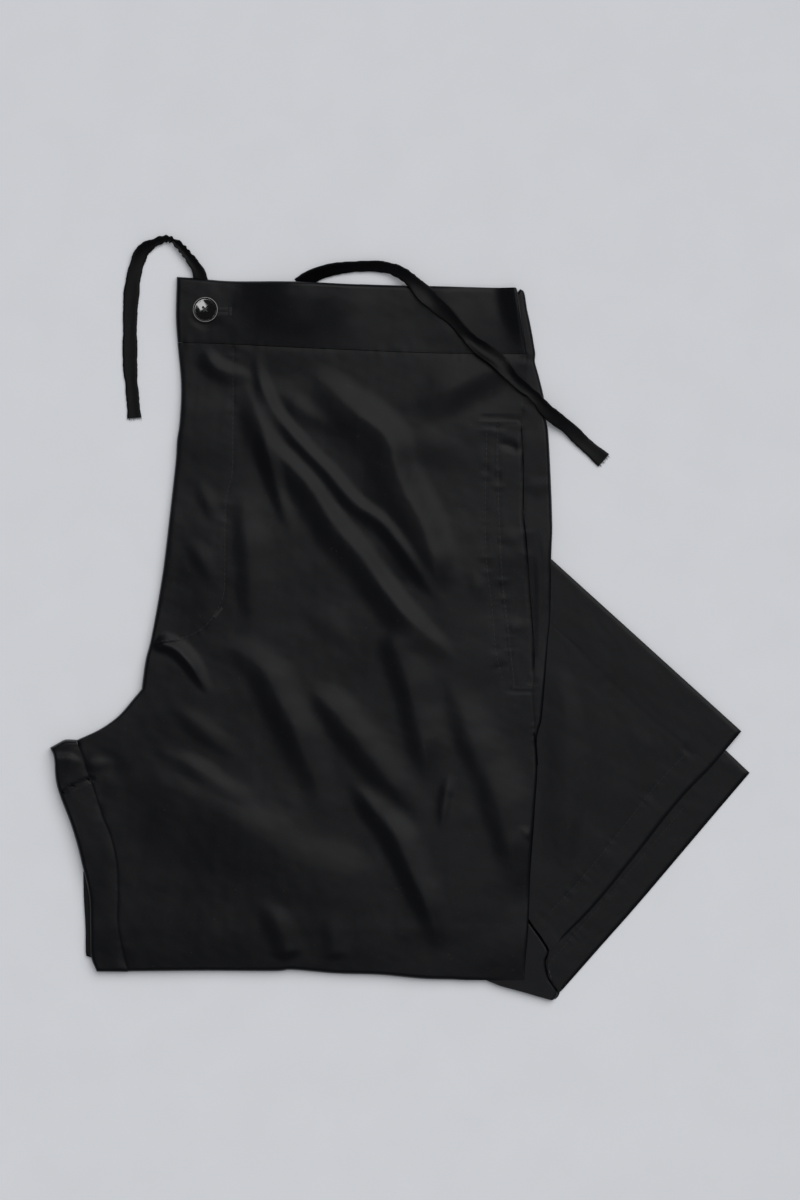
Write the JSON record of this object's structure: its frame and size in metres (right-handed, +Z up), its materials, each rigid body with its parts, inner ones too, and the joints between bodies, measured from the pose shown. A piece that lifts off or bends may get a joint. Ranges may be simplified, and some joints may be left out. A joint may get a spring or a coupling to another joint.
{
  "type": "folded lounge pants",
  "caption": "Black lounge pants folded in half and laid flat, with a buttoned waistband, fly, side pocket, turned-under legs and loose waist ties.",
  "frame": {"origin": "under the middle of the folded garment, on the surface that it rests on, ties left out", "axes": "+X towards the turned leg hems, +Y up the garment towards the waistband, +Z up out of the pile"},
  "size_m": [0.4298, 0.4715, 0.0116],
  "materials": {
    "cloth": "soft black cotton sateen with a low sheen",
    "tie_cloth": "the same black cloth, folded and pressed flat",
    "button": "glossy black with a polished rim"
  },
  "bodies": {
    "root": {"front_left": "cloth", "fly": "cloth", "pocket_welt": "cloth", "back_left_side": "cloth", "back_left_inseam": "cloth", "waistband_front": "cloth", "waistband_back": "cloth", "left_leg_lower": "cloth", "left_leg_strip": "cloth", "right_leg_lower": "cloth", "leg_turn": "cloth", "hidden_layers": "cloth", "button": "button", "tie_left": "tie_cloth", "tie_right": "tie_cloth"}
  },
  "joints": []
}
